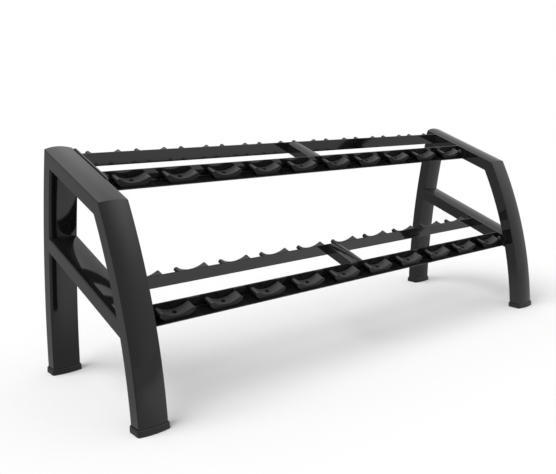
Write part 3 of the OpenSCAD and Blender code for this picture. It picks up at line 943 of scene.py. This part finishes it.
# %% The trays' bolts, washers and weld nuts
BOLT_D, TUBE_WALL, BOLT_WASHER_T = 10 * MM, 3 * MM, 2 * MM
BOLT_FLATS, BOLT_HEAD_H, WELD_NUT_H = 1.7 * BOLT_D, 0.64 * BOLT_D, 0.8 * BOLT_D
UNDER_HEAD = -PLATE_T - BOLT_WASHER_T
WELD_NUT_TOP = TUBE_WALL + WELD_NUT_H
profile = chamfered_hex(BOLT_FLATS, UNDER_HEAD - BOLT_HEAD_H, UNDER_HEAD) + [(BOLT_D / 2, UNDER_HEAD, 0)]
profile += thread(BOLT_D / 2, WELD_NUT_TOP, WELD_NUT_TOP + PROUD, BOLT_PITCH)
profile += [(BOLT_D / 2 - MM, WELD_NUT_TOP + PROUD, 0)]
one = settle(turned("bolt", profile), WORN_OXIDE)
on_trays("tray_hexagon_bolts", one, ON_PLATES, WORN_OXIDE, "black_screws", "tray_bolts")
one = settle(washer("washer", 2 * BOLT_D, BOLT_D + 2 * HOLE_GAP, UNDER_HEAD, -PLATE_T), ZINC)
on_trays("tray_bolt_flat_washers", one, ON_PLATES, ZINC, "plated_steel", "tray_bolt_washers")
one = settle(nut("nut", BOLT_FLATS, BOLT_D + THREAD_GAP, TUBE_WALL, WELD_NUT_TOP), ZINC)
on_trays("tray_weld_nuts", one, ON_PLATES, ZINC, "plated_steel", "tube_weld_nuts")

# %% [markdown]
# ## Camera
#
# The rack is seen from its front left, from a little above, through a short telephoto lens.

# %% Camera
lens = bpy.data.cameras.new("camera")
lens.lens = 46.0
lens.sensor_width = 36.0
camera = bpy.data.objects.new("camera", lens)
camera.location = (-2.252, -2.358, 1.122)
camera.rotation_euler = (math.radians(90 - 11.30), 0.0, math.radians(-39.91))
bpy.context.scene.collection.objects.link(camera)
bpy.context.scene.camera = camera
print("camera", round(math.hypot(*camera.location), 2), "m from the rack's middle")

# %% [markdown]
# ## Floor
#
# Semi-gloss black shows its surroundings more than itself, so the floor has three parts to play. To the
# camera it is a white sweep: near the rack it is a real white surface that takes the shadow, and further
# out it fades to an even white. To a reflection it is a grey floor with a painted pool of light under the
# rack, which glows by emission: no lamp casts it and it holds no shadow. Past the pool's front edge it is
# nearly as light as the wall beyond, so that no dark band lies between them. To all other light it is a
# plain grey, so that the rack isn't lit from below as strongly as from above.
#
# Three Light Path outputs tell these apart, and a Mix Shader switches between them.

# %% A floor with a pool of light
FLOOR_GREY = 0.5
OVAL, GLOW_STARTS, GLOW_FULL = (0.67, 1.0, 1.0), 0.8, 1.7
# Glow of the painted pool of light in reflections, of the floor past it, and of the floor in front
POOL, PAST_POOL, FRONT_FLOOR = 0.97, 0.45, 0.62
# Each edge: the axis, where it is darkest, where it is full, and the share of the light left past it
POOL_EDGES = ((0, -1.45, -0.75, 0.0), (0, 1.6, 0.2, 0.4), (1, -2.3, -0.9, 0.0), (1, 0.25, -0.45, 0.0))
FRONT_EDGES = ((0, -1.45, -0.75, 0.0), (1, -0.9, -2.3, 0.0))


def camera_floor(graph, place):
    """White that takes the shadow near the rack and glows evenly further out."""
    oval = graph.add("ShaderNodeVectorMath", {"operation": "MULTIPLY"}, {0: place, 1: OVAL})
    away = graph.add("ShaderNodeVectorMath", {"operation": "LENGTH"}, {0: oval}, output=1)
    fade = {"Value": away, "From Min": GLOW_STARTS, "From Max": GLOW_FULL}
    far = graph.add("ShaderNodeMapRange", {"interpolation_type": "SMOOTHSTEP"}, fade)
    white = graph.add("ShaderNodeBsdfDiffuse", values={"Color": (1, 1, 1, 1)})
    glow = graph.add("ShaderNodeEmission", values={"Color": (1, 1, 1, 1), "Strength": 1.0})
    return graph.add("ShaderNodeMixShader", values={0: far, 1: white, 2: glow})


def faded(graph, place, edges, strength):
    """A strength that fades along X or Y, from the inside of each edge to its outside."""
    for axis, out, inside, least in edges:
        along = graph.add("ShaderNodeSeparateXYZ", values={"Vector": place}, output=axis)
        fade = {"Value": along, "From Min": out, "From Max": inside, "To Min": least, "To Max": 1.0}
        edge = graph.add("ShaderNodeMapRange", {"interpolation_type": "SMOOTHSTEP"}, fade)
        strength = edge * strength
    return strength


def painted_pool_floor(graph, place):
    """What a reflection sees: the painted pool of light, and the lighter floor past its front edge."""
    pool = faded(graph, place, POOL_EDGES, POOL - PAST_POOL)
    front = faded(graph, place, FRONT_EDGES, FRONT_FLOOR - PAST_POOL)
    strength = pool + front + PAST_POOL
    return graph.add("ShaderNodeEmission", values={"Color": (1, 1, 1, 1), "Strength": strength})


def pale_floor():
    """Tells the camera's rays, the reflections and all other light apart."""
    material, graph = start_finish("pale_floor")
    place = graph.add("ShaderNodeTexCoord", output=3)
    seen = graph.add("ShaderNodeLightPath", output="Is Camera Ray")
    clear = graph.add("ShaderNodeLightPath", output="Is Transmission Ray")
    glossy = graph.add("ShaderNodeLightPath", output="Is Glossy Ray")
    grey = graph.add("ShaderNodeBsdfDiffuse", values={"Color": (FLOOR_GREY, FLOOR_GREY, FLOOR_GREY, 1)})
    mixed = graph.add("ShaderNodeMixShader", values={0: seen + clear, 1: grey, 2: camera_floor(graph, place)})
    mixed = graph.add("ShaderNodeMixShader", values={0: glossy, 1: mixed, 2: painted_pool_floor(graph, place)})
    graph.add("ShaderNodeOutputMaterial", values={"Surface": mixed})
    return material


mesh = bpy.data.meshes.new("floor")
mesh.from_pydata([(-60, -60, 0), (60, -60, 0), (60, 60, 0), (-60, 60, 0)], [], [(0, 1, 2, 3)])
mesh.materials.append(pale_floor())
floor = bpy.data.objects.new("floor", mesh)
bpy.context.scene.collection.objects.link(floor)
print("floor with", mesh.materials[0].name)

# %% [markdown]
# ## Studio walls
#
# The world stands for the studio's walls and ceiling. A reflection finds grey walls, the right one a
# little lighter, a key light high up at the front right whose glow falls off softly, a broad window high
# at the back, and a bright ceiling. A dot product with a direction says how far a ray points from each.

# %% Walls, lights and ceiling
WALL, EVEN_LIGHT = 0.48, 0.55
RIGHT_WALL, RIGHT_AT, RIGHT_EDGE = 0.20, (1.0, 0.0, 0.0), (0.0, 0.6)
KEY, KEY_AT, KEY_EDGE, KEY_FALL = 1.3, (0.55, -0.38, 0.74), 0.51, 6.0
WINDOW, WINDOW_AT, WINDOW_EDGE = 0.5, (0.16, 0.82, 0.55), (0.905, 0.967)
CEILING, CEILING_AT, CEILING_EDGE = 1.2, (0.0, 0.0, 1.0), (0.7, 0.97)


def towards(graph, way, aim):
    """How far a ray points towards an aim: 1 is straight at it."""
    return graph.add("ShaderNodeVectorMath", {"operation": "DOT_PRODUCT"}, {0: way, 1: aim}, 1)


def soft_patch(graph, way, aim, edge, strength):
    """A patch of light around an aim that fades out between the two values of its edge."""
    sizes = {"Value": towards(graph, way, aim), "From Min": edge[0], "From Max": edge[1]}
    sizes.update({"To Min": 0.0, "To Max": strength})
    return graph.add("ShaderNodeMapRange", {"interpolation_type": "SMOOTHSTEP"}, sizes)


def studio_walls():
    world = bpy.data.worlds.new("studio")
    world.use_nodes = True
    world.node_tree.nodes.clear()
    graph = Graph(world.node_tree)
    way = graph.add("ShaderNodeTexCoord", output="Generated")
    key = ((towards(graph, way, KEY_AT) - KEY_EDGE) / (1 - KEY_EDGE)).math("MAXIMUM", 0.0)
    key = key.math("POWER", KEY_FALL) * KEY
    window = soft_patch(graph, way, WINDOW_AT, WINDOW_EDGE, WINDOW)
    ceiling = soft_patch(graph, way, CEILING_AT, CEILING_EDGE, CEILING)
    right = soft_patch(graph, way, RIGHT_AT, RIGHT_EDGE, RIGHT_WALL)
    shown = key + window + ceiling + right + WALL
    seen = graph.add("ShaderNodeLightPath", output="Is Camera Ray")
    clear = graph.add("ShaderNodeLightPath", output="Is Transmission Ray")
    glossy = graph.add("ShaderNodeLightPath", output="Is Glossy Ray")
    strength = seen + clear + glossy * shown + (1 - seen - clear - glossy) * EVEN_LIGHT
    light = graph.add("ShaderNodeBackground", values={"Color": (1, 1, 1, 1), "Strength": strength})
    graph.add("ShaderNodeOutputWorld", values={"Surface": light})
    return world


bpy.context.scene.world = studio_walls()
print("world:", bpy.context.scene.world.name)

# %% [markdown]
# ## Key lamp
#
# The lamp for the matt parts stands far off at the upper left. A Sun lamp with a wide angle does this: it
# lights both ends of a long rack alike, as a large softbox far away would, and its shadows are soft. It
# models the saddles, because the side of each cradle that faces it is lighter. Reflections don't see it:
# they see the world's softer lights.

# %% Key lamp at the upper left
LAMP_LIGHT, LAMP_FROM, LAMP_SPREAD = 1.9, Vector((-0.62, 0.05, 0.78)), math.radians(50)

lamp = bpy.data.lights.new("key_lamp", "SUN")
lamp.energy = LAMP_LIGHT
lamp.angle = LAMP_SPREAD
key_lamp = bpy.data.objects.new("key_lamp", lamp)
key_lamp.location = 4 * LAMP_FROM
key_lamp.rotation_euler = LAMP_FROM.to_track_quat("Z", "Y").to_euler()
key_lamp.visible_glossy = False
bpy.context.scene.collection.objects.link(key_lamp)
bpy.context.scene.view_settings.view_transform = "Standard"
print("key lamp:", lamp.energy, "W/m2 over", round(math.degrees(lamp.angle)), "degrees")
